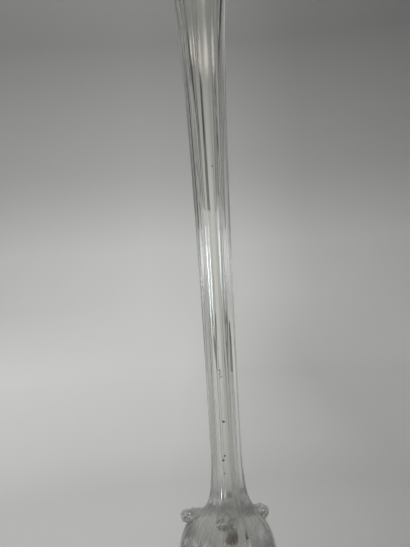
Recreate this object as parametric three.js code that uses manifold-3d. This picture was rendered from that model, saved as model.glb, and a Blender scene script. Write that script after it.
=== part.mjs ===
// Tall bud vase of clear hot-worked glass, in millimetres, +Z up.
// The origin is the middle of the standing ring, and the front of the vase faces -Y.
// An eight-panelled flute stands on a cast foot, with four curled straps laid on its shoulder.
import * as THREE from "three";
import { mergeVertices } from "three/addons/utils/BufferGeometryUtils.js";
import Module from "manifold-3d";

// Flute: radii are taken over the ridges between the panels.
const OVERALL_HEIGHT = 450;
const PANELS = 8;
const PANEL_DIP = 0.045; // depth of a panel's middle below its ridges, per unit of radius
const RIDGE_POWER = 3; // how narrow the ridges are
const SEAM_RADIUS = 36; // where the bell meets the foot
const SHOULDER_RISE = 46; // pull of the bell's convex shoulder above the seam
const SHOULDER_INSET = 8; // how far that shoulder leans in
const BELL_HEIGHT = 74; // seam to where the bell has run out into the stem
const NECK_PULL = 66; // pull of the bell's concave neck below that place
const STEM_RADIUS = 11.3;
const TRUMPET_GAIN = 8.5; // radius that the long taper adds by the lip
const TRUMPET_POWER = 2.4;
const LIP_GAIN = 7.4; // radius that the turned-out lip adds
const LIP_POWER = 14;
const LIP_WAVE = 5; // drop of the lip between two ridges
const LIP_ZONE = 60; // height over which the lip's wave dies away
const STEM_ASIDE = 2.9; // the swinging left the stem a little to the right of the bell
const ASIDE_START = 18; // height above the seam where the bell starts to move over
const ASIDE_END = 36;

// Bore of the flute.
const STEM_WALL = 7.1;
const LIP_WALL = 2.4;
const WALL_POWER = 3; // how late the wall thins towards the lip
const WELL_RADIUS = 7.7;
const WELL_FLOOR = 2.5; // thickness of the bell's glass under the bore
const WELL_POWER = 2; // how late the bore opens out into the well

// Foot.
const FOOT_HEIGHT = 18;
const FOOT_SPREAD = 6; // how far the foot stands out past the bell
const FOOT_EDGE = 6; // height of its rounded edge
const RING_WIDTH = 11; // flat ring that the vase stands on
const RECESS_DEPTH = 3; // hollow inside the ring

// Scrolls: straps that run out from the shoulder and curl over.
const SCROLL_RISE = 33; // seam to the top of the strap
const SCROLL_WIDTH = 13;
const SCROLL_TIP_WIDTH = 9;
const SCROLL_ROOT_THICKNESS = 8;
const SCROLL_THICKNESS = 4.4; // where the curl starts
const SCROLL_TIP_THICKNESS = 2.8;
const CURL_RADIUS = 3; // centreline of the strap where the curl starts
const CURL_EYE_RADIUS = 1.9; // centreline at the tip
const CURL_TURN = THREE.MathUtils.degToRad(240);
const TIP_START = 0.9; // place along the strap where its tip starts to round off
const TIP_CLOSING = 0.93; // how nearly the tip closes
const SCROLL_GAP = 0.42; // how far the scrolls stay off the flute, measured level
// The straps are tooled by hand, so each stands out from the bell by its own amount.
const SCROLLS = [
  { name: "scroll_front", bearing: 0, overhang: 8.8 },
  { name: "scroll_right", bearing: 90, overhang: 8.2 },
  { name: "scroll_back", bearing: 180, overhang: 8.8 },
  { name: "scroll_left", bearing: 270, overhang: 9.3 },
];

// Fineness of the curved faces.
const SEGMENTS = PANELS * 6;
const BELL_STEPS = 18;
const TRUMPET_STEPS = 16;
const WELL_STEPS = 6;
const ARC_STEPS = 5;
const SCROLL_STEPS = 30;
const SCROLL_SIDES = 14;

const GLASS = { color: 0xdde3df, roughness: 0.05, metalness: 0, transparent: true, opacity: 0.45 };

const NECK_HEIGHT = FOOT_HEIGHT + BELL_HEIGHT;
const { lerp, smoothstep } = THREE.MathUtils;

const wasm = await Module();
wasm.setup();

function solidOf(geometry) {
  const bare = geometry.clone();
  bare.deleteAttribute("normal");
  bare.deleteAttribute("uv");
  const merged = mergeVertices(bare, 1e-4);
  return new wasm.Manifold(
    new wasm.Mesh({
      numProp: 3,
      vertProperties: merged.attributes.position.array,
      triVerts: new Uint32Array(merged.index.array),
    }),
  );
}

function geometryOf(solid) {
  const { vertProperties, triVerts } = solid.getMesh();
  const geometry = new THREE.BufferGeometry();
  geometry.setAttribute("position", new THREE.BufferAttribute(vertProperties, 3));
  geometry.setIndex(new THREE.BufferAttribute(triVerts, 1));
  geometry.computeVertexNormals();
  return geometry;
}

// Place across a panel at a bearing round the axis: 0 in its middle, 1 on the ridge at either side.
function panelOffset(bearing) {
  const across = (bearing / (2 * Math.PI)) * PANELS + 0.5;
  return Math.abs(2 * (across - Math.floor(across)) - 1);
}

// Turns a profile of (radius, height) points round +Z and gives each point to a shaping function,
// which takes its bearing, radius and height and returns its place.
function turned(profile, shape) {
  const geometry = new THREE.LatheGeometry(profile, SEGMENTS);
  geometry.rotateX(Math.PI / 2);
  const position = geometry.attributes.position;
  for (let i = 0; i < position.count; i += 1) {
    const x = position.getX(i);
    const y = position.getY(i);
    const place = shape(Math.atan2(x, -y), Math.hypot(x, y), position.getZ(i));
    position.setXYZ(i, place.x, place.y, place.z);
  }
  return geometry;
}

function placeAt(bearing, radius, z) {
  return new THREE.Vector3(radius * Math.sin(bearing), -radius * Math.cos(bearing), z);
}

// Radius on a panelled form, from the radius over its ridges.
function panelRadius(bearing, radius, depth = 1) {
  return radius * (1 - PANEL_DIP * (1 - panelOffset(bearing) ** RIDGE_POWER) * depth);
}

// The flute's form: panelled, waved at the lip, and with its stem moved over.
// The bore stays in line with the stem all the way down.
function shapeFlute(bearing, radius, z) {
  const wave = smoothstep(z, OVERALL_HEIGHT - LIP_ZONE, OVERALL_HEIGHT);
  const drop = LIP_WAVE * wave * (0.5 + 0.5 * Math.cos(Math.PI * panelOffset(bearing)));
  const above = smoothstep(z, FOOT_HEIGHT + ASIDE_START, FOOT_HEIGHT + ASIDE_END);
  const within = 1 - smoothstep(radius, WELL_RADIUS, STEM_RADIUS);
  const place = placeAt(bearing, panelRadius(bearing, radius), z - drop);
  place.x += STEM_ASIDE * Math.max(above, within);
  return place;
}

// The bell's outer curve, from the seam up to the stem.
function bellCurve(offset = 0) {
  return new THREE.CubicBezierCurve(
    new THREE.Vector2(SEAM_RADIUS + offset, FOOT_HEIGHT),
    new THREE.Vector2(SEAM_RADIUS - SHOULDER_INSET + offset, FOOT_HEIGHT + SHOULDER_RISE),
    new THREE.Vector2(STEM_RADIUS + offset, NECK_HEIGHT - NECK_PULL),
    new THREE.Vector2(STEM_RADIUS + offset, NECK_HEIGHT),
  );
}

// Radius of the bell over its ridges at a height, found by halving along its curve.
function bellRadius(z) {
  const curve = bellCurve();
  let low = 0;
  let high = 1;
  while (high - low > 1e-6) {
    const middle = (low + high) / 2;
    if (curve.getPoint(middle).y < z) {
      low = middle;
    } else {
      high = middle;
    }
  }
  return curve.getPoint(low).x;
}

// How far up the trumpet a height lies: 0 at the neck, 1 at the lip.
function trumpetShare(z) {
  return (z - NECK_HEIGHT) / (OVERALL_HEIGHT - NECK_HEIGHT);
}

function trumpetRadius(z) {
  const share = trumpetShare(z);
  return STEM_RADIUS + TRUMPET_GAIN * share ** TRUMPET_POWER + LIP_GAIN * share ** LIP_POWER;
}

function boreRadius(z) {
  const wall = STEM_WALL + (LIP_WALL - STEM_WALL) * trumpetShare(z) ** WALL_POWER;
  return trumpetRadius(z) - wall;
}

// Points of an arc in the profile's plane, ends included.
function arc(radius, height, size, from, to) {
  const curve = new THREE.EllipseCurve(radius, height, size, size, from, to, to < from);
  return curve.getPoints(ARC_STEPS);
}

// Heights up the trumpet, closer together where the lip turns out.
function trumpetHeights(top) {
  const heights = [];
  for (let i = 1; i <= TRUMPET_STEPS; i += 1) {
    const share = Math.sin((i / TRUMPET_STEPS) * (Math.PI / 2));
    heights.push(NECK_HEIGHT + (top - NECK_HEIGHT) * share);
  }
  return heights;
}

function makeFlute() {
  const lipHeight = OVERALL_HEIGHT - LIP_WALL / 2;
  const heights = trumpetHeights(lipHeight);
  const outside = bellCurve().getPoints(BELL_STEPS);
  outside.push(...heights.map((z) => new THREE.Vector2(trumpetRadius(z), z)));
  const lipMiddle = trumpetRadius(lipHeight) - LIP_WALL / 2;
  const lip = arc(lipMiddle, lipHeight, LIP_WALL / 2, 0, Math.PI).slice(1, -1);
  const inside = heights.map((z) => new THREE.Vector2(boreRadius(z), z)).reverse();
  const wellHeight = FOOT_HEIGHT + WELL_FLOOR + WELL_RADIUS;
  for (let i = 0; i < WELL_STEPS; i += 1) {
    const share = i / WELL_STEPS;
    const radius = lerp(boreRadius(NECK_HEIGHT), WELL_RADIUS, share ** WELL_POWER);
    inside.push(new THREE.Vector2(radius, lerp(NECK_HEIGHT, wellHeight, share)));
  }
  const well = arc(0, wellHeight, WELL_RADIUS, 0, -Math.PI / 2);
  well[well.length - 1].x = 0;
  const profile = [new THREE.Vector2(0, FOOT_HEIGHT), ...outside, ...lip, ...inside, ...well];
  return turned(profile, shapeFlute);
}

function makeFoot() {
  const roll = FOOT_EDGE / 2;
  const standing = SEAM_RADIUS + FOOT_SPREAD - roll;
  const recess = standing - RING_WIDTH;
  const cove = new THREE.QuadraticBezierCurve(
    new THREE.Vector2(standing, FOOT_EDGE),
    new THREE.Vector2(SEAM_RADIUS, FOOT_EDGE),
    new THREE.Vector2(SEAM_RADIUS, FOOT_HEIGHT),
  );
  const profile = [
    new THREE.Vector2(0, RECESS_DEPTH),
    new THREE.Vector2(recess - RECESS_DEPTH, RECESS_DEPTH),
    new THREE.Vector2(recess, 0),
    ...arc(standing, roll, roll, -Math.PI / 2, Math.PI / 2),
    ...cove.getPoints(ARC_STEPS).slice(1),
    new THREE.Vector2(0, FOOT_HEIGHT),
  ];
  return turned(profile, (bearing, radius, z) => {
    const depth = smoothstep(radius, recess, SEAM_RADIUS);
    return placeAt(bearing, panelRadius(bearing, radius, depth), z);
  });
}

// Centreline of a scroll in the plane of (distance from the axis, height).
// The strap runs out of the bell with its top level, thinning as it goes, then winds in on itself.
class ScrollLine extends THREE.Curve {
  constructor(overhang) {
    super();
    this.top = FOOT_HEIGHT + SCROLL_RISE;
    const eyeHeight = this.top - SCROLL_THICKNESS / 2 - CURL_RADIUS;
    const reach = bellRadius(eyeHeight) * (1 - PANEL_DIP) + overhang;
    const outermost = this.curlRadius(Math.PI / 2 / CURL_TURN);
    this.eye = new THREE.Vector2(reach - SCROLL_THICKNESS / 2 - outermost, eyeHeight);
    this.root = bellRadius(this.top) * (1 - PANEL_DIP) - STEM_ASIDE;
    const armLength = this.eye.x - this.root;
    this.arm = armLength / (armLength + (CURL_TURN * (CURL_RADIUS + CURL_EYE_RADIUS)) / 2);
  }

  curlRadius(share) {
    return lerp(CURL_RADIUS, CURL_EYE_RADIUS, share);
  }

  thickness(t) {
    if (t < this.arm) {
      return lerp(SCROLL_ROOT_THICKNESS, SCROLL_THICKNESS, t / this.arm);
    }
    return lerp(SCROLL_THICKNESS, SCROLL_TIP_THICKNESS, smoothstep(t, this.arm, 1));
  }

  getPoint(t) {
    if (t < this.arm) {
      const x = lerp(this.root, this.eye.x, t / this.arm);
      return new THREE.Vector3(x, 0, this.top - this.thickness(t) / 2);
    }
    const share = (t - this.arm) / (1 - this.arm);
    const angle = Math.PI / 2 - CURL_TURN * share;
    const radius = this.curlRadius(share);
    const x = this.eye.x + radius * Math.cos(angle);
    return new THREE.Vector3(x, 0, this.eye.y + radius * Math.sin(angle));
  }
}

// A strap of oval section along a line: its width and thickness shrink to a rounded tip.
function strapAlong(line) {
  const geometry = new THREE.CylinderGeometry(1, 1, 1, SCROLL_SIDES, SCROLL_STEPS);
  const position = geometry.attributes.position;
  for (let i = 0; i < position.count; i += 1) {
    const t = 0.5 - position.getY(i);
    const taper = smoothstep(t, line.arm, 1);
    const closing = TIP_CLOSING * smoothstep(t, TIP_START, 1);
    const rounding = Math.sqrt(1 - closing ** 2);
    const halfWidth = (lerp(SCROLL_WIDTH, SCROLL_TIP_WIDTH, taper) / 2) * rounding;
    const halfThickness = (line.thickness(t) / 2) * rounding;
    const point = line.getPoint(t);
    const tangent = line.getTangent(t);
    const across = position.getX(i) * halfWidth;
    const out = position.getZ(i) * halfThickness;
    position.setXYZ(i, point.x - tangent.z * out, across, point.z + tangent.x * out);
  }
  return geometry;
}

// The space that the flute takes, grown by the scrolls' clearance.
function makeFluteRoom() {
  const profile = [
    new THREE.Vector2(0, FOOT_HEIGHT),
    ...bellCurve(SCROLL_GAP).getPoints(BELL_STEPS),
    new THREE.Vector2(0, NECK_HEIGHT),
  ];
  return solidOf(turned(profile, shapeFlute));
}

const vase = new THREE.Group();

function addPiece(name, geometry) {
  const mesh = new THREE.Mesh(geometry, new THREE.MeshStandardMaterial(GLASS));
  mesh.name = name;
  vase.add(mesh);
}

addPiece("foot", makeFoot());
addPiece("flute", makeFlute());
const fluteRoom = makeFluteRoom();
for (const { name, bearing, overhang } of SCROLLS) {
  const strap = strapAlong(new ScrollLine(overhang));
  strap.rotateZ(THREE.MathUtils.degToRad(bearing - 90));
  addPiece(name, geometryOf(solidOf(strap).subtract(fluteRoom)));
}

export default vase;
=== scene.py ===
# Tall bud vase of clear hot-worked glass: an eight-panelled flute swung out of one gather,
# a cast foot fused under it, and four curled straps laid on its shoulder.
# Metres, +Z up, with the front of the vase towards -Y.
import math
import bpy
import bmesh
from mathutils import Matrix, Vector, noise


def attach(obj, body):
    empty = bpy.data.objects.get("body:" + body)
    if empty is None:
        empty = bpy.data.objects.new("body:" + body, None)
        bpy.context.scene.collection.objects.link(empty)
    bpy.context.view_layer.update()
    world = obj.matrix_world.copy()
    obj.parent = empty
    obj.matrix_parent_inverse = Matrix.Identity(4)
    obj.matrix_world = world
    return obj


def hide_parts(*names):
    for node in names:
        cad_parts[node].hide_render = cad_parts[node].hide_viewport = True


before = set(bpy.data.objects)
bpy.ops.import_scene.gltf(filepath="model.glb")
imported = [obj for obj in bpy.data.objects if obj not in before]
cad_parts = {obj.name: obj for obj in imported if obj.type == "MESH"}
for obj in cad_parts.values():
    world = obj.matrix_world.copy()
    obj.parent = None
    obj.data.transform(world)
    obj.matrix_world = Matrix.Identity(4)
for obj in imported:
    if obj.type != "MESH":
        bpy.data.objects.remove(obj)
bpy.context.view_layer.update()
MM = 0.001


# Camera. It stands level, a little above half height, close to the vase, and is rolled so that
# the stem leans to the left; the frame crops the lip and the foot.
FRAME_PIXELS = 547  # height of the frame
PIXEL = 0.69 * MM  # size of a pixel of the frame at the vase's axis
STEM_ASIDE = 2.9 * MM  # how far the stem stands to the right of the foot's middle
SENSOR = 36
CAMERA_AWAY = 0.567
CAMERA_HEIGHT = 0.2123
CAMERA_ASIDE = STEM_ASIDE - 10.68 * PIXEL
CAMERA_ROLL = math.atan(0.0585)

camera_data = bpy.data.cameras.new("camera")
camera_data.sensor_fit = "AUTO"
camera_data.sensor_width = SENSOR
camera_data.lens = SENSOR / 2 * CAMERA_AWAY / (FRAME_PIXELS / 2 * PIXEL)
camera_data.clip_start = 0.01
camera = bpy.data.objects.new("camera", camera_data)
bpy.context.scene.collection.objects.link(camera)
camera_up = Vector((math.sin(CAMERA_ROLL), 0, math.cos(CAMERA_ROLL)))
camera_ahead = Vector((0, 1, 0))
camera_turn = Matrix((camera_ahead.cross(camera_up), camera_up, -camera_ahead)).transposed()
camera_place = Matrix.Translation((CAMERA_ASIDE, -CAMERA_AWAY, CAMERA_HEIGHT))
camera.matrix_world = camera_place @ camera_turn.to_4x4()
bpy.context.scene.camera = camera


# Flute. The body of the vase: a gather of clear glass pressed in an eight-panelled mould, then
# swung so that it drew out into a long stem round a narrow bore and opened at the lip.
# The drawing left soft ridges between the panels and fine lines along the stem.
HEIGHT = 449.9 * MM
PANELS = 8
PANEL_ANGLE = 2 * math.pi / PANELS
PANEL_DIP = 0.045  # depth of a panel's middle, as a share of the radius
SEAM_HEIGHT = 18 * MM
SEAM_RADIUS = 36 * MM
SHOULDER_RISE = 46 * MM
SHOULDER_INSET = 8 * MM
NECK_HEIGHT = 92 * MM
NECK_PULL = 66 * MM
STEM_RADIUS = 11.3 * MM
TRUMPET_GAIN, TRUMPET_POWER = 8.5 * MM, 2.4
LIP_GAIN, LIP_POWER = 7.4 * MM, 14
LIP_WAVE, LIP_ZONE = 5 * MM, 60 * MM
STEM_WALL, LIP_WALL, WALL_POWER = 7.1 * MM, 2.4 * MM, 3
WELL_RADIUS, WELL_POWER = 7.7 * MM, 2
WELL_FLOOR = 20.5 * MM
ASIDE_RANGE = (36 * MM, 54 * MM)  # heights between which the bell moves over to the stem
FUSE = 0.1 * MM  # how far fused pieces run into each other
ROUND_STEPS = 384
BELL_RINGS, STEM_RINGS, LIP_RINGS, WELL_RINGS, FLOOR_RINGS = 50, 64, 8, 16, 10
# The swinging turned the ridges, and wiped out two at the front low down and one at the back
# higher up. Each pair is the heights between which that comes about.
DRAW_TURN = math.radians(8)
TURN_RANGE = (60 * MM, 260 * MM)
FRONT_LOST, FRONT_BACK_AGAIN = (60 * MM, 90 * MM), (140 * MM, 210 * MM)
REAR_LOST = (120 * MM, 200 * MM)
# The bore is round in the well, takes on the panels above it, and grows round again.
BORE_PANELLED, BORE_ROUND_AGAIN = (45 * MM, 75 * MM), (150 * MM, 260 * MM)
ROUND_DIP, ROUND_PANELS = 0.5, 0.2
# Fine lines left by the drawing: bearing in degrees, height in millimetres.
DRAW_LINES = [
    (-43, 0.10), (-28, 0.12), (47, 0.10), (63, 0.08), (88, 0.06), (104, 0.10), (127, 0.08),
    (158, 0.10), (171, 0.06), (199, 0.10), (226, 0.08), (251, 0.10), (279, 0.07), (300, 0.1),
]
DRAW_LINE_WIDTH = math.radians(1.6)
LINE_DRIFT_LENGTH, LINE_SWELL_LENGTH = 160 * MM, 120 * MM
WAVER, WAVER_LOBES, WAVER_LENGTH = 0.05, 1.2, 38 * MM
# Heights between which the relief of the lines comes in, grows from its low share and dies out.
RELIEF_IN, RELIEF_OUT = (SEAM_HEIGHT, 40 * MM), (HEIGHT - 40 * MM, HEIGHT)
RELIEF_GROWTH, RELIEF_LOW_SHARE = (130 * MM, 230 * MM), 0.08


def bell_point(share):
    """A point of (radius, height) on the curve from the seam to the neck."""
    a, b = (SEAM_RADIUS, SEAM_HEIGHT), (SEAM_RADIUS - SHOULDER_INSET, SEAM_HEIGHT + SHOULDER_RISE)
    c, d = (STEM_RADIUS, NECK_HEIGHT - NECK_PULL), (STEM_RADIUS, NECK_HEIGHT)
    left = 1 - share
    weights = (left ** 3, 3 * left ** 2 * share, 3 * left * share ** 2, share ** 3)
    return tuple(sum(w * p[i] for w, p in zip(weights, (a, b, c, d))) for i in (0, 1))


def trumpet_share(z):
    return (z - NECK_HEIGHT) / (HEIGHT - NECK_HEIGHT)


def trumpet_radius(z):
    share = trumpet_share(z)
    return STEM_RADIUS + TRUMPET_GAIN * share ** TRUMPET_POWER + LIP_GAIN * share ** LIP_POWER


def bore_radius(z):
    wall = STEM_WALL + (LIP_WALL - STEM_WALL) * trumpet_share(z) ** WALL_POWER
    return trumpet_radius(z) - wall


def smoothstep(value, low, high):
    share = min(max((value - low) / (high - low), 0), 1)
    return share * share * (3 - 2 * share)


def round_noise(bearing, lobes, level):
    """Noise that closes on itself round the vase."""
    return noise.noise((lobes * math.sin(bearing), lobes * math.cos(bearing), level))


def arc(turn, steps):
    """Even angles from nothing to a turn."""
    return [turn * i / steps for i in range(steps + 1)]


def panel_offset(bearing):
    """Nothing in the middle of a panel, one on a ridge."""
    across = bearing / (2 * math.pi) * PANELS + 0.5
    return abs(2 * (across - math.floor(across)) - 1)


def panel_hollow(bearing):
    """One over most of a panel, nothing on a ridge."""
    return 0.5 + 0.5 * math.cos(math.pi * panel_offset(bearing) ** 3)


def drawn_hollow(bearing, z):
    """Panels of the stem, which lost its two front ridges low down."""
    lost = 0
    if abs(bearing) < PANEL_ANGLE:
        lost = smoothstep(z, *FRONT_LOST) * (1 - smoothstep(z, *FRONT_BACK_AGAIN))
    return panel_hollow(bearing) * (1 - lost) + lost


def outer_hollow(bearing, z):
    """Panels of the outside, which also lost one ridge at the back of the upper stem."""
    lost = smoothstep(z, *REAR_LOST) if 3 * PANEL_ANGLE < bearing < 4 * PANEL_ANGLE else 0
    return drawn_hollow(bearing, z) * (1 - lost) + lost


def bore_hollow(bearing, z):
    """Panels of the bore in the thick lower stem; it is round in the well and higher up."""
    round_share = max(smoothstep(z, *BORE_ROUND_AGAIN), 1 - smoothstep(z, *BORE_PANELLED))
    rounded = ROUND_DIP + ROUND_PANELS * panel_hollow(bearing)
    return (1 - round_share) * drawn_hollow(bearing, z) + round_share * rounded


def ridge_bearing(bearing, z):
    """The bearing less the turn of the ridges at a height."""
    return bearing - DRAW_TURN * smoothstep(z, *TURN_RANGE)


def finished(name, bm):
    mesh = bpy.data.meshes.new(name)
    bm.to_mesh(mesh)
    bm.free()
    mesh.shade_smooth()
    piece = bpy.data.objects.new(name, mesh)
    bpy.context.scene.collection.objects.link(piece)
    return piece


def turned(name, profile, steps, shape=None):
    """A mesh spun from a profile of (radius, height), each point then moved by shape."""
    bm = bmesh.new()
    verts = [bm.verts.new((radius, 0, height)) for radius, height in profile]
    edges = [bm.edges.new(pair) for pair in zip(verts, verts[1:])]
    bmesh.ops.spin(
        bm, geom=verts + edges, cent=(0, 0, 0), axis=(0, 0, 1),
        angle=2 * math.pi, steps=steps, use_merge=True,
    )
    bmesh.ops.remove_doubles(bm, verts=bm.verts, dist=1e-7)
    bmesh.ops.recalc_face_normals(bm, faces=bm.faces)
    if shape:
        bm.normal_update()
        for vert in bm.verts:
            shape(vert)
    return finished(name, bm)


lines_at_height = {}


def draw_lines(z):
    """Bearing and height of each fine draw line at a height up the stem."""
    if z not in lines_at_height:
        lines_at_height[z] = []
        for number, (degrees, height) in enumerate(DRAW_LINES):
            drift = noise.noise((number * 7.3, 1.7, z / LINE_DRIFT_LENGTH))
            swell = 0.75 + 0.7 * noise.noise((number * 3.1, 9.2, z / LINE_SWELL_LENGTH))
            lines_at_height[z].append((math.radians(degrees + drift), height * max(swell, 0)))
    return lines_at_height[z]


def draw_relief(bearing, z):
    """Height of the fine draw lines and the slow waver of the surface."""
    relief = WAVER * round_noise(bearing, WAVER_LOBES, z / WAVER_LENGTH)
    for line, height in draw_lines(z):
        gap = (bearing - line + math.pi) % (2 * math.pi) - math.pi
        if abs(gap) < 3 * DRAW_LINE_WIDTH:
            relief += height * math.exp(-((gap / DRAW_LINE_WIDTH) ** 2))
    return relief * MM


def shape_flute(vert):
    x, y, z = vert.co
    radius = math.hypot(x, y)
    bearing = math.atan2(x, -y)
    aside = STEM_ASIDE * max(
        smoothstep(z, *ASIDE_RANGE), 1 - smoothstep(radius, WELL_RADIUS, STEM_RADIUS),
    )
    ridge = ridge_bearing(bearing, z)
    facing = vert.normal.xy.dot(vert.co.xy) / max(radius, MM)
    outside = smoothstep(facing, -0.5, 0.5)
    dip = outside * outer_hollow(ridge, z) + (1 - outside) * bore_hollow(ridge, z)
    radius *= 1 - PANEL_DIP * dip
    if facing > 0 and z > SEAM_HEIGHT + MM:
        fade = smoothstep(z, *RELIEF_IN) * (1 - smoothstep(z, *RELIEF_OUT))
        fade *= RELIEF_LOW_SHARE + (1 - RELIEF_LOW_SHARE) * smoothstep(z, *RELIEF_GROWTH)
        radius += fade * draw_relief(bearing, z)
    wave = smoothstep(z, HEIGHT - LIP_ZONE, HEIGHT)
    drop = LIP_WAVE * wave * (0.5 + 0.5 * math.cos(math.pi * panel_offset(ridge)))
    vert.co = (radius * math.sin(bearing) + aside, -radius * math.cos(bearing), z - drop)


lip_height = HEIGHT - LIP_WALL / 2
lip_middle = trumpet_radius(lip_height) - LIP_WALL / 2
well_height = WELL_FLOOR + WELL_RADIUS
rise = [
    NECK_HEIGHT + (lip_height - NECK_HEIGHT) * math.sin(i / STEM_RINGS * math.pi / 2)
    for i in range(1, STEM_RINGS + 1)
]
flute_profile = [(0, SEAM_HEIGHT - FUSE), (SEAM_RADIUS, SEAM_HEIGHT - FUSE)]
flute_profile += [bell_point(i / BELL_RINGS) for i in range(1, BELL_RINGS + 1)]
flute_profile += [(trumpet_radius(z), z) for z in rise]
flute_profile += [
    (lip_middle + LIP_WALL / 2 * math.cos(a), lip_height + LIP_WALL / 2 * math.sin(a))
    for a in arc(math.pi, LIP_RINGS)[1:-1]
]
flute_profile += [(bore_radius(z), z) for z in reversed(rise[::2])]
flute_profile += [
    (bore_radius(NECK_HEIGHT) * (1 - t ** WELL_POWER) + WELL_RADIUS * t ** WELL_POWER,
     NECK_HEIGHT * (1 - t) + well_height * t)
    for t in (i / WELL_RINGS for i in range(WELL_RINGS))
]
flute_profile += [
    (WELL_RADIUS * math.cos(a), well_height - WELL_RADIUS * math.sin(a))
    for a in arc(math.pi / 2, FLOOR_RINGS)[:-1]
]
flute_profile += [(0, WELL_FLOOR)]
flute = turned("flute_glass", flute_profile, ROUND_STEPS, shape_flute)

GLASS_IOR = 1.5
GLASS_TINTS = ((0.955, 0.965, 0.93), (0.985, 0.988, 0.96))
GRAIN_DEPTH = 0.4 * MM
CLOUD_SCALE, CLOUD_DETAIL, CLOUD_SPAN = 45.0, 3.0, (0.35, 0.75)
# Bloom: how much rougher and more veiled the glass is where it is strongest, and how much its
# colour is darkened there, a painted shade for the dim surroundings seen through the bell; its
# streaks round the vase and how quickly they change upwards; and the distances from the stem's
# axis between which it comes in, so that the well stays clear.
BLOOM_ROUGH, BLOOM_VEIL, BLOOM_PAINTED_SHADE = 0.45, 0.3, 0.78
BLOOM_STREAKS, BLOOM_RISE = 32, 30
BLOOM_SHARE, BLOOM_LEAST = 0.7, 0.15
BLOOM_RANGE = (WELL_RADIUS + 1.4 * MM, WELL_RADIUS + 2.4 * MM)
BELL_BLOOM_AND_SHADE = (14 * MM, 32 * MM, 48 * MM, 78 * MM)


def new_material(name):
    """A material and its Principled shader."""
    material = bpy.data.materials.new(name)
    material.use_nodes = True
    return material, material.node_tree.nodes["Principled BSDF"]


def add_node(material, kind, **values):
    """A shader node with its settings and sockets filled in, linked where a socket is given."""
    node = material.node_tree.nodes.new(kind)
    for name, value in values.items():
        if name in node.inputs:
            socket = node.inputs[name]
        elif name.replace("_", " ") in node.inputs:
            socket = node.inputs[name.replace("_", " ")]
        else:
            setattr(node, name, value)
            continue
        if isinstance(value, bpy.types.NodeSocket):
            material.node_tree.links.new(value, socket)
        else:
            socket.default_value = value
    return node


def object_place(material):
    return add_node(material, "ShaderNodeTexCoord").outputs["Object"]


def mottled(material, place, scale, detail):
    node = add_node(material, "ShaderNodeTexNoise", Vector=place, Scale=scale, Detail=detail)
    return node.outputs["Fac"]


def ranged(material, value, low, high, to_low=0.0, to_high=1.0, kind="LINEAR"):
    """A socket that goes from one value to another while value goes from low to high."""
    return add_node(
        material, "ShaderNodeMapRange", Value=value, interpolation_type=kind,
        From_Min=low, From_Max=high, To_Min=to_low, To_Max=to_high,
    ).outputs["Result"]


def times_plus(material, value, times, plus):
    """A socket that gives value times one number plus another."""
    node = add_node(material, "ShaderNodeMath", operation="MULTIPLY_ADD")
    for socket, given in zip(node.inputs, (value, times, plus)):
        if isinstance(given, bpy.types.NodeSocket):
            material.node_tree.links.new(given, socket)
        else:
            socket.default_value = given
    return node.outputs["Value"]


def colour_ramp(material, value, stops):
    """A colour that follows a value through stops of (position, colour), in rising order."""
    ramp = add_node(material, "ShaderNodeValToRGB", Fac=value)
    elements = ramp.color_ramp.elements
    for element, (position, colour) in zip(elements, (stops[0], stops[-1])):
        element.position = position
        element.color = (*colour, 1)
    for position, colour in stops[1:-1]:
        elements.new(position).color = (*colour, 1)
    return ramp.outputs["Color"]


def clear_glass(name, grain, bump_strength, rough_low, rough_high):
    """Clear glass whose polish and tint waver, with a faint grain in its surface."""
    material, shader = new_material(name)
    links = material.node_tree.links
    shader.inputs["Transmission Weight"].default_value = 1.0
    shader.inputs["IOR"].default_value = GLASS_IOR
    place = object_place(material)
    stretch = add_node(material, "ShaderNodeMapping", Vector=place, Scale=grain).outputs["Vector"]
    bump = add_node(
        material, "ShaderNodeBump", Height=mottled(material, stretch, 1.0, 2.0),
        Strength=bump_strength, Distance=GRAIN_DEPTH,
    )
    links.new(bump.outputs["Normal"], shader.inputs["Normal"])
    cloud = mottled(material, place, CLOUD_SCALE, CLOUD_DETAIL)
    polish = ranged(material, cloud, *CLOUD_SPAN, rough_low, rough_high)
    links.new(polish, shader.inputs["Roughness"])
    tint = colour_ramp(material, cloud, list(enumerate(GLASS_TINTS)))
    links.new(tint, shader.inputs["Base Color"])
    return material


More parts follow.
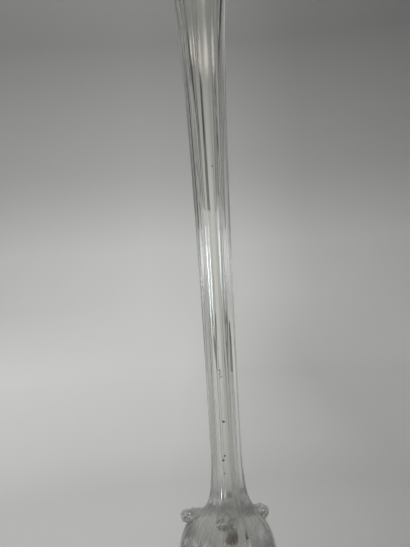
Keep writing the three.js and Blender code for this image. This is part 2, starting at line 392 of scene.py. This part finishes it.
def add_bloom_and_shade(material, heights, most):
    """Bloom in streaks on the outside, which makes glass rougher and less clear, and painted shade,
    which darkens its colour there.

    It comes in between the first two heights and goes out between the last two.
    """
    links = material.node_tree.links
    shader = material.node_tree.nodes["Principled BSDF"]
    place = object_place(material)
    height_up = add_node(material, "ShaderNodeSeparateXYZ", Vector=place).outputs["Z"]
    around = add_node(
        material, "ShaderNodeMapping", Vector=place, Location=(-STEM_ASIDE, 0, 0), Scale=(1, 1, 0),
    ).outputs["Vector"]
    away = add_node(material, "ShaderNodeVectorMath", operation="LENGTH", Vector=around)
    facing = add_node(material, "ShaderNodeVectorMath", operation="NORMALIZE", Vector=around)
    risen = add_node(material, "ShaderNodeMapping", Vector=place, Scale=(0, 0, BLOOM_RISE))
    run = add_node(
        material, "ShaderNodeVectorMath", operation="MULTIPLY_ADD", Vector=facing.outputs["Vector"],
    )
    run.inputs[1].default_value = (BLOOM_STREAKS, BLOOM_STREAKS, 0)
    links.new(risen.outputs["Vector"], run.inputs[2])
    streaks = mottled(material, run.outputs["Vector"], 1.0, 2.0)
    streaks = times_plus(material, streaks, BLOOM_SHARE, BLOOM_LEAST)
    bloom_and_shade = ranged(material, away.outputs["Value"], *BLOOM_RANGE, 0.0, streaks)
    for clear, dull in (heights[:2], heights[:1:-1]):
        bloom_and_shade = ranged(material, height_up, clear, dull, 0.0, bloom_and_shade, "SMOOTHSTEP")
    polish = shader.inputs["Roughness"].links[0].from_socket
    rough = times_plus(material, bloom_and_shade, BLOOM_ROUGH * most, polish)
    links.new(rough, shader.inputs["Roughness"])
    unveiled = times_plus(material, bloom_and_shade, -BLOOM_VEIL * most, 1.0)
    links.new(unveiled, shader.inputs["Transmission Weight"])
    # Painted shade: the glass's colour is darkened where the streaky mask is strong.
    painted_shade = add_node(
        material, "ShaderNodeVectorMath", operation="SCALE",
        Vector=shader.inputs["Base Color"].links[0].from_socket,
        Scale=times_plus(material, bloom_and_shade, -BLOOM_PAINTED_SHADE * most, 1.0),
    )
    links.new(painted_shade.outputs["Vector"], shader.inputs["Base Color"])


drawn_glass = clear_glass("drawn_glass", (260, 260, 9), 0.006, 0.012, 0.03)
add_bloom_and_shade(drawn_glass, BELL_BLOOM_AND_SHADE, 1.0)
flute.data.materials.append(drawn_glass)
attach(flute, "root")
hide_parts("flute")


# Foot. A separate gather cast in a ring and fused under the bell: it spreads past the bell,
# has a rounded edge, and stands on a flat ring round a shallow hollow.
FOOT_SPREAD = 5.8 * MM
FOOT_EDGE = 6 * MM
RING_WIDTH = 11 * MM
RECESS_DEPTH = 3 * MM
RECESS_RINGS, ROLL_RINGS, SLOPE_RINGS = 6, 16, 16
foot_roll = FOOT_EDGE / 2
foot_standing = SEAM_RADIUS + FOOT_SPREAD - foot_roll
foot_recess = foot_standing - RING_WIDTH


def shape_foot(vert):
    x, y, z = vert.co
    radius = math.hypot(x, y)
    bearing = math.atan2(x, -y)
    radius *= 1 - PANEL_DIP * panel_hollow(bearing) * smoothstep(radius, foot_recess, SEAM_RADIUS)
    vert.co = (radius * math.sin(bearing), -radius * math.cos(bearing), z)


foot_profile = [(0, RECESS_DEPTH)]
foot_profile += [
    (foot_recess - RECESS_DEPTH * math.cos(a), RECESS_DEPTH - RECESS_DEPTH * math.sin(a))
    for a in arc(math.pi / 2, RECESS_RINGS)
]
foot_profile += [
    (foot_standing + foot_roll * math.sin(a), foot_roll - foot_roll * math.cos(a))
    for a in arc(math.pi, ROLL_RINGS)
]
foot_profile += [
    ((1 - t) ** 2 * foot_standing + (1 - (1 - t) ** 2) * SEAM_RADIUS,
     (1 - t * t) * FOOT_EDGE + t * t * SEAM_HEIGHT)
    for t in (i / SLOPE_RINGS for i in range(1, SLOPE_RINGS + 1))
]
foot_profile += [(0, SEAM_HEIGHT)]
foot = turned("foot_glass", foot_profile, ROUND_STEPS, shape_foot)
cast_glass = clear_glass("cast_glass", (120, 120, 120), 0.03, 0.02, 0.06)
foot.data.materials.append(cast_glass)
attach(foot, "root")
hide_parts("foot")


# Scrolls. Four straps of soft glass, each laid on the bell's shoulder with a thick root, drawn
# outwards and curled over with a hot tool; no two stand out by quite the same amount.
SCROLL_TOP = SEAM_HEIGHT + 33 * MM
SCROLL_WIDTH, SCROLL_TIP_WIDTH = 13 * MM, 9 * MM
SCROLL_ROOT_THICKNESS, SCROLL_THICKNESS, SCROLL_TIP_THICKNESS = 8 * MM, 4.4 * MM, 2.8 * MM
CURL_RADIUS, CURL_EYE_RADIUS = 3 * MM, 1.9 * MM
CURL_TURN = math.radians(240)
TIP_START, TIP_CLOSING = 0.9, 0.97
TOOL_MARK, TOOL_MARK_LENGTH = 0.42, 2.9 * MM
SCROLL_STEPS, SCROLL_SIDES = 90, 36
SCROLL_BLOOM_AND_SHADE = (40 * MM, 42 * MM, 52 * MM, 60 * MM)
# Bearing in degrees and overhang in millimetres.
OVERHANGS = {"front": (0, 8.8), "right": (90, 8.2), "back": (180, 8.8), "left": (270, 9.3)}
eye_height = SCROLL_TOP - SCROLL_THICKNESS / 2 - CURL_RADIUS


def bell_radius(z):
    low, high = 0.0, 1.0
    while high - low > 1e-6:
        middle = (low + high) / 2
        if bell_point(middle)[1] < z:
            low = middle
        else:
            high = middle
    return bell_point(low)[0]


def inside_bell(point):
    """How deep a point lies inside the bell's surface; less than nothing outside it."""
    x, y = point.x - STEM_ASIDE * smoothstep(point.z, *ASIDE_RANGE), point.y
    dip = PANEL_DIP * panel_hollow(math.atan2(x, -y))
    return bell_radius(point.z) * (1 - dip) - math.hypot(x, y)


def onto_bell(point, outward):
    """The point where a line along outward leaves the bell, less the depth of a fused joint."""
    near, far = -10 * MM, 30 * MM
    while far - near > 1e-6:
        middle = (near + far) / 2
        if inside_bell(point + outward * middle) > FUSE:
            near = middle
        else:
            far = middle
    return point + outward * near


def make_scroll(name, bearing, overhang):
    outward = Vector((math.sin(bearing), -math.cos(bearing), 0))
    aside = Vector((math.cos(bearing), math.sin(bearing), 0))
    reach = bell_radius(eye_height) * (1 - PANEL_DIP) + overhang
    curl_middle = CURL_RADIUS + (CURL_EYE_RADIUS - CURL_RADIUS) * math.pi / 2 / CURL_TURN
    eye = reach - SCROLL_THICKNESS / 2 - curl_middle
    root = bell_radius(SCROLL_TOP) * (1 - PANEL_DIP) - STEM_ASIDE
    arm = eye - root
    curl = CURL_TURN * (CURL_RADIUS + CURL_EYE_RADIUS) / 2
    bm = bmesh.new()
    ring = bmesh.ops.create_circle(bm, cap_ends=True, segments=SCROLL_SIDES, radius=1)["verts"]
    places = [(vert.co.x, vert.co.y) for vert in ring]
    face = bm.faces[:][0]
    started = False
    for step in range(SCROLL_STEPS + 1):
        t = step / SCROLL_STEPS
        run = t * (arm + curl)
        if run < arm:
            taper = 0
            thick = SCROLL_ROOT_THICKNESS + (SCROLL_THICKNESS - SCROLL_ROOT_THICKNESS) * run / arm
            middle, up = (root + run, SCROLL_TOP - thick / 2), (0, 1)
        else:
            share = (run - arm) / curl
            taper = smoothstep(share, 0, 1)
            thick = SCROLL_THICKNESS + (SCROLL_TIP_THICKNESS - SCROLL_THICKNESS) * taper
            angle = math.pi / 2 - CURL_TURN * share
            winding = CURL_RADIUS + (CURL_EYE_RADIUS - CURL_RADIUS) * share
            up = (math.cos(angle), math.sin(angle))
            middle = (eye + winding * up[0], eye_height + winding * up[1])
        rounding = math.sqrt(1 - (TIP_CLOSING * smoothstep(t, TIP_START, 1)) ** 2)
        width = (SCROLL_WIDTH + (SCROLL_TIP_WIDTH - SCROLL_WIDTH) * taper) / 2 * rounding
        thick = thick / 2 * rounding
        core = outward * middle[0]
        core.z = middle[1]
        spots = []
        for across, out in places:
            spot = outward * (middle[0] + up[0] * out * thick) + aside * (across * width)
            spot.z = middle[1] + up[1] * out * thick
            spot += (spot - core) * TOOL_MARK * noise.noise(spot / TOOL_MARK_LENGTH)
            spots.append(spot)
        if not started and all(inside_bell(spot) > FUSE for spot in spots):
            continue
        if started:
            face = bmesh.ops.extrude_discrete_faces(bm, faces=[face])["faces"][0]
        for vert, spot in zip(face.verts, spots):
            vert.co = onto_bell(spot, outward) if not started or inside_bell(spot) > FUSE else spot
        started = True
    bmesh.ops.recalc_face_normals(bm, faces=bm.faces)
    return finished(name, bm)


tooled_glass = clear_glass("tooled_glass", (420, 420, 420), 0.12, 0.02, 0.08)
add_bloom_and_shade(tooled_glass, SCROLL_BLOOM_AND_SHADE, 0.5)
for side, (bearing, overhang) in OVERHANGS.items():
    scroll = make_scroll("scroll_" + side + "_glass", math.radians(bearing), overhang * MM)
    scroll.data.materials.append(tooled_glass)
    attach(scroll, "root")
    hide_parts("scroll_" + side)


# Stain. Standing water has dried to a thin brown film on the floor of the well, with a ragged
# edge that creeps up the wall; it lies on the glass and isn't fused to it.
STAIN_REACH = math.radians(84)  # how far up the well's round floor it goes
STAIN_GAP, STAIN_THICKNESS = 0.05 * MM, 0.1 * MM
STAIN_RINGS, STAIN_STEPS = 14, 72
STAIN_ROUGHNESS = 0.85
STAIN_GRAIN, STAIN_DETAIL = 420.0, 4.0
STAIN_BROWNS = [(0.35, (0.15, 0.05, 0.008)), (0.7, (0.42, 0.18, 0.045))]
STAIN_THINNING, STAIN_COVER = (0.4, 0.66), (1.0, 0.45)


def shape_stain(vert):
    x, y, z = vert.co
    bearing = math.atan2(x, -y)
    up = math.atan2(math.hypot(x, y), well_height - z)
    up *= 0.8 + 0.3 * round_noise(bearing, 1.6, 4.2)
    up *= 0.95 + 0.1 * round_noise(bearing, 6, 1.3)
    wall = WELL_RADIUS * (1 - PANEL_DIP * bore_hollow(bearing, z))
    radius = (wall - STAIN_GAP) * math.sin(up)
    vert.co = (
        radius * math.sin(bearing) + STEM_ASIDE, -radius * math.cos(bearing),
        well_height - (WELL_RADIUS - STAIN_GAP) * math.cos(up),
    )


stain_profile = [
    (WELL_RADIUS * math.sin(a), well_height - WELL_RADIUS * math.cos(a))
    for a in arc(STAIN_REACH, STAIN_RINGS)
]
stain = turned("water_stain", stain_profile, STAIN_STEPS, shape_stain)
bm = bmesh.new()
bm.from_mesh(stain.data)
bmesh.ops.recalc_face_normals(bm, faces=bm.faces)
bmesh.ops.solidify(bm, geom=bm.faces[:], thickness=STAIN_THICKNESS)
bm.to_mesh(stain.data)
bm.free()
dried_film, film = new_material("dried_film")
film.inputs["Roughness"].default_value = STAIN_ROUGHNESS
mottle = mottled(dried_film, object_place(dried_film), STAIN_GRAIN, STAIN_DETAIL)
brown = colour_ramp(dried_film, mottle, STAIN_BROWNS)
dried_film.node_tree.links.new(brown, film.inputs["Base Color"])
cover = ranged(dried_film, mottle, *STAIN_THINNING, *STAIN_COVER)
dried_film.node_tree.links.new(cover, film.inputs["Alpha"])
stain.data.materials.append(dried_film)
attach(stain, "root")


# Specks. Crumbs of dried plant matter stuck to the wall of the bore, and one on the bell.
# Each is a flattened, uneven grain well under a millimetre thick.
# Place of each: height in millimetres, bearing in degrees and width in millimetres.
BORE_SPECKS = [
    (285, 14, 0.9), (218, -49, 0.9), (146, -17, 1.0), (144.5, -8, 0.7), (143, -14, 0.8),
    (141.5, -5, 0.8), (140.5, -16, 0.7), (110.6, -8, 1.5), (87.2, -14, 1.0), (84, -30, 1.4),
    (75, -22, 0.8), (65, -48, 0.9), (62.5, -40, 0.8), (210, 120, 0.8), (160, 200, 1.0),
]
BELL_SPECKS = [(37, 25, 1.1)]
SPECK_UNEVENNESS, SPECK_GRAIN = 0.6, 2200
CRUMB_ROUGHNESS = 0.9
CRUMB_GRAIN, CRUMB_DETAIL = 1500.0, 2.0
CRUMB_BROWNS = [(0.0, (0.012, 0.010, 0.008)), (1.0, (0.075, 0.06, 0.045))]


def wall_radius(z):
    """Radius of the bore over its ridges at a height."""
    if z > NECK_HEIGHT:
        return bore_radius(z)
    share = ((NECK_HEIGHT - z) / (NECK_HEIGHT - well_height)) ** WELL_POWER
    return bore_radius(NECK_HEIGHT) * (1 - share) + WELL_RADIUS * share


def add_speck(bm, z, bearing, radius, aside, width):
    turn = Matrix.Rotation(bearing, 4, "Z")
    stand = Matrix.Translation((aside + radius * math.sin(bearing), -radius * math.cos(bearing), z))
    flat = Matrix.Diagonal((width / 2, width / 5, width / 2, 1))
    made = bmesh.ops.create_icosphere(bm, subdivisions=2, radius=1, matrix=stand @ turn @ flat)
    for vert in made["verts"]:
        uneven = SPECK_UNEVENNESS * noise.noise(vert.co * SPECK_GRAIN)
        vert.co += (vert.co - stand.translation) * uneven


bm = bmesh.new()
for z, degrees, width in BORE_SPECKS:
    z, bearing, width = z * MM, math.radians(degrees), width * MM
    wall = wall_radius(z) * (1 - PANEL_DIP * bore_hollow(ridge_bearing(bearing, z), z))
    add_speck(bm, z, bearing, wall - width / 4, STEM_ASIDE, width)
for z, degrees, width in BELL_SPECKS:
    z, bearing, width = z * MM, math.radians(degrees), width * MM
    wall = bell_radius(z) * (1 - PANEL_DIP * panel_hollow(bearing))
    add_speck(bm, z, bearing, wall + width / 4, STEM_ASIDE * smoothstep(z, *ASIDE_RANGE), width)
specks = finished("dried_specks", bm)
dark_crumb, crumb = new_material("dark_crumb")
crumb.inputs["Roughness"].default_value = CRUMB_ROUGHNESS
mottle = mottled(dark_crumb, object_place(dark_crumb), CRUMB_GRAIN, CRUMB_DETAIL)
shade = colour_ramp(dark_crumb, mottle, CRUMB_BROWNS)
dark_crumb.node_tree.links.new(shade, crumb.inputs["Base Color"])
specks.data.materials.append(dark_crumb)
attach(specks, "root")


# Stage. A pale seamless sweep of card all round the vase under a large soft overhead light.
# Dark and grey strips of card, seen only in the glass, stand in for the dim room round the vase as
# painted reflections that draw dark lines along its ridges. Glowing cards, seen only as
# reflections, stand in for two windows, the light from both sides and two lamps.
SWEEP_RADIUS, SWEEP_BEND, SWEEP_TOP = 1.7, 0.5, 2.4
SWEEP_GAP = 0.2 * MM  # how far the card lies below the foot
BEND_RINGS, SWEEP_STEPS = 12, 96
CARD_ROUGHNESS, CARD_SPECULAR = 0.95, 0.1
CARD_BLUE = 0.985  # blue of the card, as a share of its grey
# Grey of the card against a share of its height, with a darker band high up that is painted shade.
CARD_GREYS_AND_SHADE = (
    (0, 0.6), (0.05, 0.6), (0.12, 0.61), (0.355, 0.265), (0.45, 0.265), (0.6, 0.6), (1, 0.6),
)
# How much light the card keeps, from left to right: on its upright part, against a share of the
# width, and on the floor, between two places.
UPRIGHT_WIDTH = (-0.6, 0.6)
UPRIGHT_KEEPS = ((0, 0.83), (0.37, 1.0), (0.58, 0.95), (0.73, 0.77), (1, 0.65))
FLOOR_WIDTH, FLOOR_KEEPS = (-0.06, 0.2), (1.0, 0.7)
UPRIGHT_START = 0.15
# The same against the distance from the vase, as a share of the longest.
KEEPING_LENGTH = 1.5
KEEPS_AWAY = ((0.067, 0.74), (0.187, 0.705), (0.32, 0.79), (0.54, 0.85), (0.867, 0.98))
# How brightly the card glows where it is seen through the glass: painted light.
SEEN_THROUGH_GLOW = 0.94


def greys(stops, blue=1.0):
    return [(position, (grey, grey, blue * grey)) for position, grey in stops]


card = [(0, 0)]
card += [
    (SWEEP_RADIUS - SWEEP_BEND + SWEEP_BEND * math.sin(a), SWEEP_BEND - SWEEP_BEND * math.cos(a))
    for a in arc(math.pi / 2, BEND_RINGS)
]
card += [(SWEEP_RADIUS, SWEEP_TOP)]
sweep = turned("sweep", [(radius, height - SWEEP_GAP) for radius, height in card], SWEEP_STEPS)
card_paper, paper = new_material("card_paper")
paper.inputs["Roughness"].default_value = CARD_ROUGHNESS
paper.inputs["Specular IOR Level"].default_value = CARD_SPECULAR
place = object_place(card_paper)
spread = add_node(card_paper, "ShaderNodeSeparateXYZ", Vector=place).outputs
height_share = ranged(card_paper, spread["Z"], 0.0, SWEEP_TOP)
grey = colour_ramp(card_paper, height_share, greys(CARD_GREYS_AND_SHADE, CARD_BLUE))
width_share = ranged(card_paper, spread["X"], *UPRIGHT_WIDTH)
upright = colour_ramp(card_paper, width_share, greys(UPRIGHT_KEEPS))
floor = ranged(card_paper, spread["X"], *FLOOR_WIDTH, *FLOOR_KEEPS)
across = ranged(card_paper, spread["Z"], 0.0, UPRIGHT_START, floor, upright)
distance = add_node(card_paper, "ShaderNodeVectorMath", operation="LENGTH", Vector=place)
distance_share = ranged(card_paper, distance.outputs["Value"], 0.0, KEEPING_LENGTH)
away = colour_ramp(card_paper, distance_share, greys(KEEPS_AWAY))
shade = add_node(
    card_paper, "ShaderNodeVectorMath", operation="SCALE", Vector=grey,
    Scale=times_plus(card_paper, across, away, 0.0),
).outputs["Vector"]
card_paper.node_tree.links.new(shade, paper.inputs["Base Color"])
# Seen through the glass the card glows with its own colour, a painted light, so that it shows as it
# does beside it, without the vase's own shadow.
card_glow = add_node(card_paper, "ShaderNodeEmission", Color=shade, Strength=SEEN_THROUGH_GLOW)
through_glass = add_node(card_paper, "ShaderNodeLightPath").outputs["Is Transmission Ray"]
seen = add_node(card_paper, "ShaderNodeMixShader", Fac=through_glass)
card_paper.node_tree.links.new(paper.outputs["BSDF"], seen.inputs[1])
card_paper.node_tree.links.new(card_glow.outputs["Emission"], seen.inputs[2])
card_end = card_paper.node_tree.nodes["Material Output"]
card_paper.node_tree.links.new(seen.outputs["Shader"], card_end.inputs["Surface"])
sweep.data.materials.append(card_paper)

STRIP_COUNT = 8
STRIP_ROUGHNESS = 1.0


def strip_cards(name, low, high, stops):
    """A ring of cards, each between two places of (distance, height, half-width in degrees).

    stops are pairs of (height, grey), from the floor up.
    """
    bm = bmesh.new()
    for number in range(STRIP_COUNT):
        middle = math.pi / STRIP_COUNT + 2 * math.pi * number / STRIP_COUNT
        corners = []
        for side, (away, z, half) in ((-1, low), (1, low), (1, high), (-1, high)):
            turn = middle + side * math.radians(half)
            corners.append(bm.verts.new((away * math.sin(turn), away * math.cos(turn), z)))
        bm.faces.new(corners)
    cards = finished(name, bm)
    paint, coat = new_material(name + "_paint")
    coat.inputs["Roughness"].default_value = STRIP_ROUGHNESS
    spread = add_node(paint, "ShaderNodeSeparateXYZ", Vector=object_place(paint)).outputs
    shade = colour_ramp(paint, spread["Z"], greys(stops))
    paint.node_tree.links.new(shade, coat.inputs["Base Color"])
    cards.data.materials.append(paint)
    cards.visible_camera = False
    cards.visible_diffuse = False
    cards.visible_shadow = False


# Painted reflections: dark and grey strips that stand in for the dim room, seen only in the glass.
strip_cards("dark_strips", (1.25, 0.335, 3.8), (1.25, 0.95, 5), ((0.3, 0.04), (1, 0.04)))
strip_cards("shade_strips", (1.3, 0.335, 12), (1.3, 0.95, 12), ((0.3, 0.27), (1, 0.27)))
strip_cards(
    "grey_strips", (1.2, 0.004, 6.5), (1.25, 0.2, 5),
    ((0, 0.25), (0.05, 0.2), (0.1, 0.1), (0.15, 0.22), (0.2, 0.45)),
)
strip_cards("floor_strips", (0.12, 0.001, 6.5), (1.2, 0.004, 6.5), ((0, 0.3), (1, 0.3)))

ROOM_GREY, ROOM_STRENGTH = 0.5, 0.7
OVERHEAD_SIZE, OVERHEAD_POWER = 1.8, 39
OVERHEAD_PLACE, OVERHEAD_TILT = (-0.5, 0.4, 1.9), math.radians(-10)
DAYLIGHT, SIDE_LIGHT = (0.86, 0.94, 1), (0.9, 0.95, 1)
LEFT_LAMPLIGHT, RIGHT_LAMPLIGHT = (1, 0.88, 0.76), (1, 0.9, 0.8)
LAMP_AIM = 0.38

world = bpy.data.worlds.new("room")
bpy.context.scene.world = world
world.use_nodes = True
room = world.node_tree.nodes["Background"]
room.inputs["Color"].default_value = (ROOM_GREY, ROOM_GREY, ROOM_GREY, 1)
room.inputs["Strength"].default_value = ROOM_STRENGTH

overhead_data = bpy.data.lights.new("overhead", "AREA")
overhead_data.size = OVERHEAD_SIZE
overhead_data.energy = OVERHEAD_POWER
overhead = bpy.data.objects.new("overhead", overhead_data)
bpy.context.scene.collection.objects.link(overhead)
overhead.location = OVERHEAD_PLACE
overhead.rotation_euler = (0, OVERHEAD_TILT, 0)
overhead.visible_camera = False
overhead.visible_transmission = False
overhead.visible_glossy = False


def stand_round(bearing, height):
    """Place on a ring of one metre round the vase, at a bearing in degrees from its front."""
    turn = math.radians(bearing)
    return (math.sin(turn), -math.cos(turn), height)


def glow_card(name, place, aim, size, strength, colour, edge=0.5):
    """A glowing card aimed at a height on the vase's axis, seen only as a reflection.

    It is brightest in its middle and soft at its edges.
    """
    bm = bmesh.new()
    bmesh.ops.create_grid(bm, x_segments=1, y_segments=1, size=1)
    glow = finished(name, bm)
    turn = (Vector((0, 0, aim)) - Vector(place)).to_track_quat("Z", "Y").to_matrix().to_4x4()
    stretch = Matrix.Diagonal((size[0] / 2, size[1] / 2, 1, 1))
    glow.matrix_world = Matrix.Translation(place) @ turn @ stretch
    light, shader = new_material(name + "_light")
    light.node_tree.nodes.remove(shader)
    place_on = object_place(light)
    soft = add_node(
        light, "ShaderNodeTexGradient", gradient_type="QUADRATIC_SPHERE", Vector=place_on,
    ).outputs["Fac"]
    faded = add_node(light, "ShaderNodeMixShader", Fac=ranged(light, soft, 0.0, edge))
    clear = add_node(light, "ShaderNodeBsdfTransparent")
    emission = add_node(light, "ShaderNodeEmission", Strength=strength, Color=(*colour, 1))
    light.node_tree.links.new(clear.outputs["BSDF"], faded.inputs[1])
    light.node_tree.links.new(emission.outputs["Emission"], faded.inputs[2])
    output = light.node_tree.nodes["Material Output"]
    light.node_tree.links.new(faded.outputs["Shader"], output.inputs["Surface"])
    glow.data.materials.append(light)
    glow.visible_camera = False
    glow.visible_transmission = False
    glow.visible_diffuse = False
    glow.visible_shadow = False


glow_card("window", stand_round(-39, 0.18), 0.18, (1.25, 0.28), 26, DAYLIGHT, edge=0.3)
glow_card("side_window", stand_round(33, 0.212), 0.212, (0.21, 0.28), 14, DAYLIGHT)
glow_card("left_fill", stand_round(-88, 0.225), 0.225, (0.8, 0.18), 8, SIDE_LIGHT)
glow_card("right_fill", stand_round(98, 0.225), 0.225, (0.8, 0.2), 4, SIDE_LIGHT)
glow_card("left_lamp", stand_round(-62, 0.555), LAMP_AIM, (0.4, 0.06), 8, LEFT_LAMPLIGHT)
glow_card("right_lamp", (0.33, -1.15, 0.57), LAMP_AIM, (0.9, 0.09), 7, RIGHT_LAMPLIGHT)

BOUNCES = 80  # enough for light that is caught in the thick glass
scene = bpy.context.scene
scene.view_settings.view_transform = "Standard"
scene.cycles.max_bounces = BOUNCES
scene.cycles.transmission_bounces = BOUNCES
scene.cycles.glossy_bounces = BOUNCES
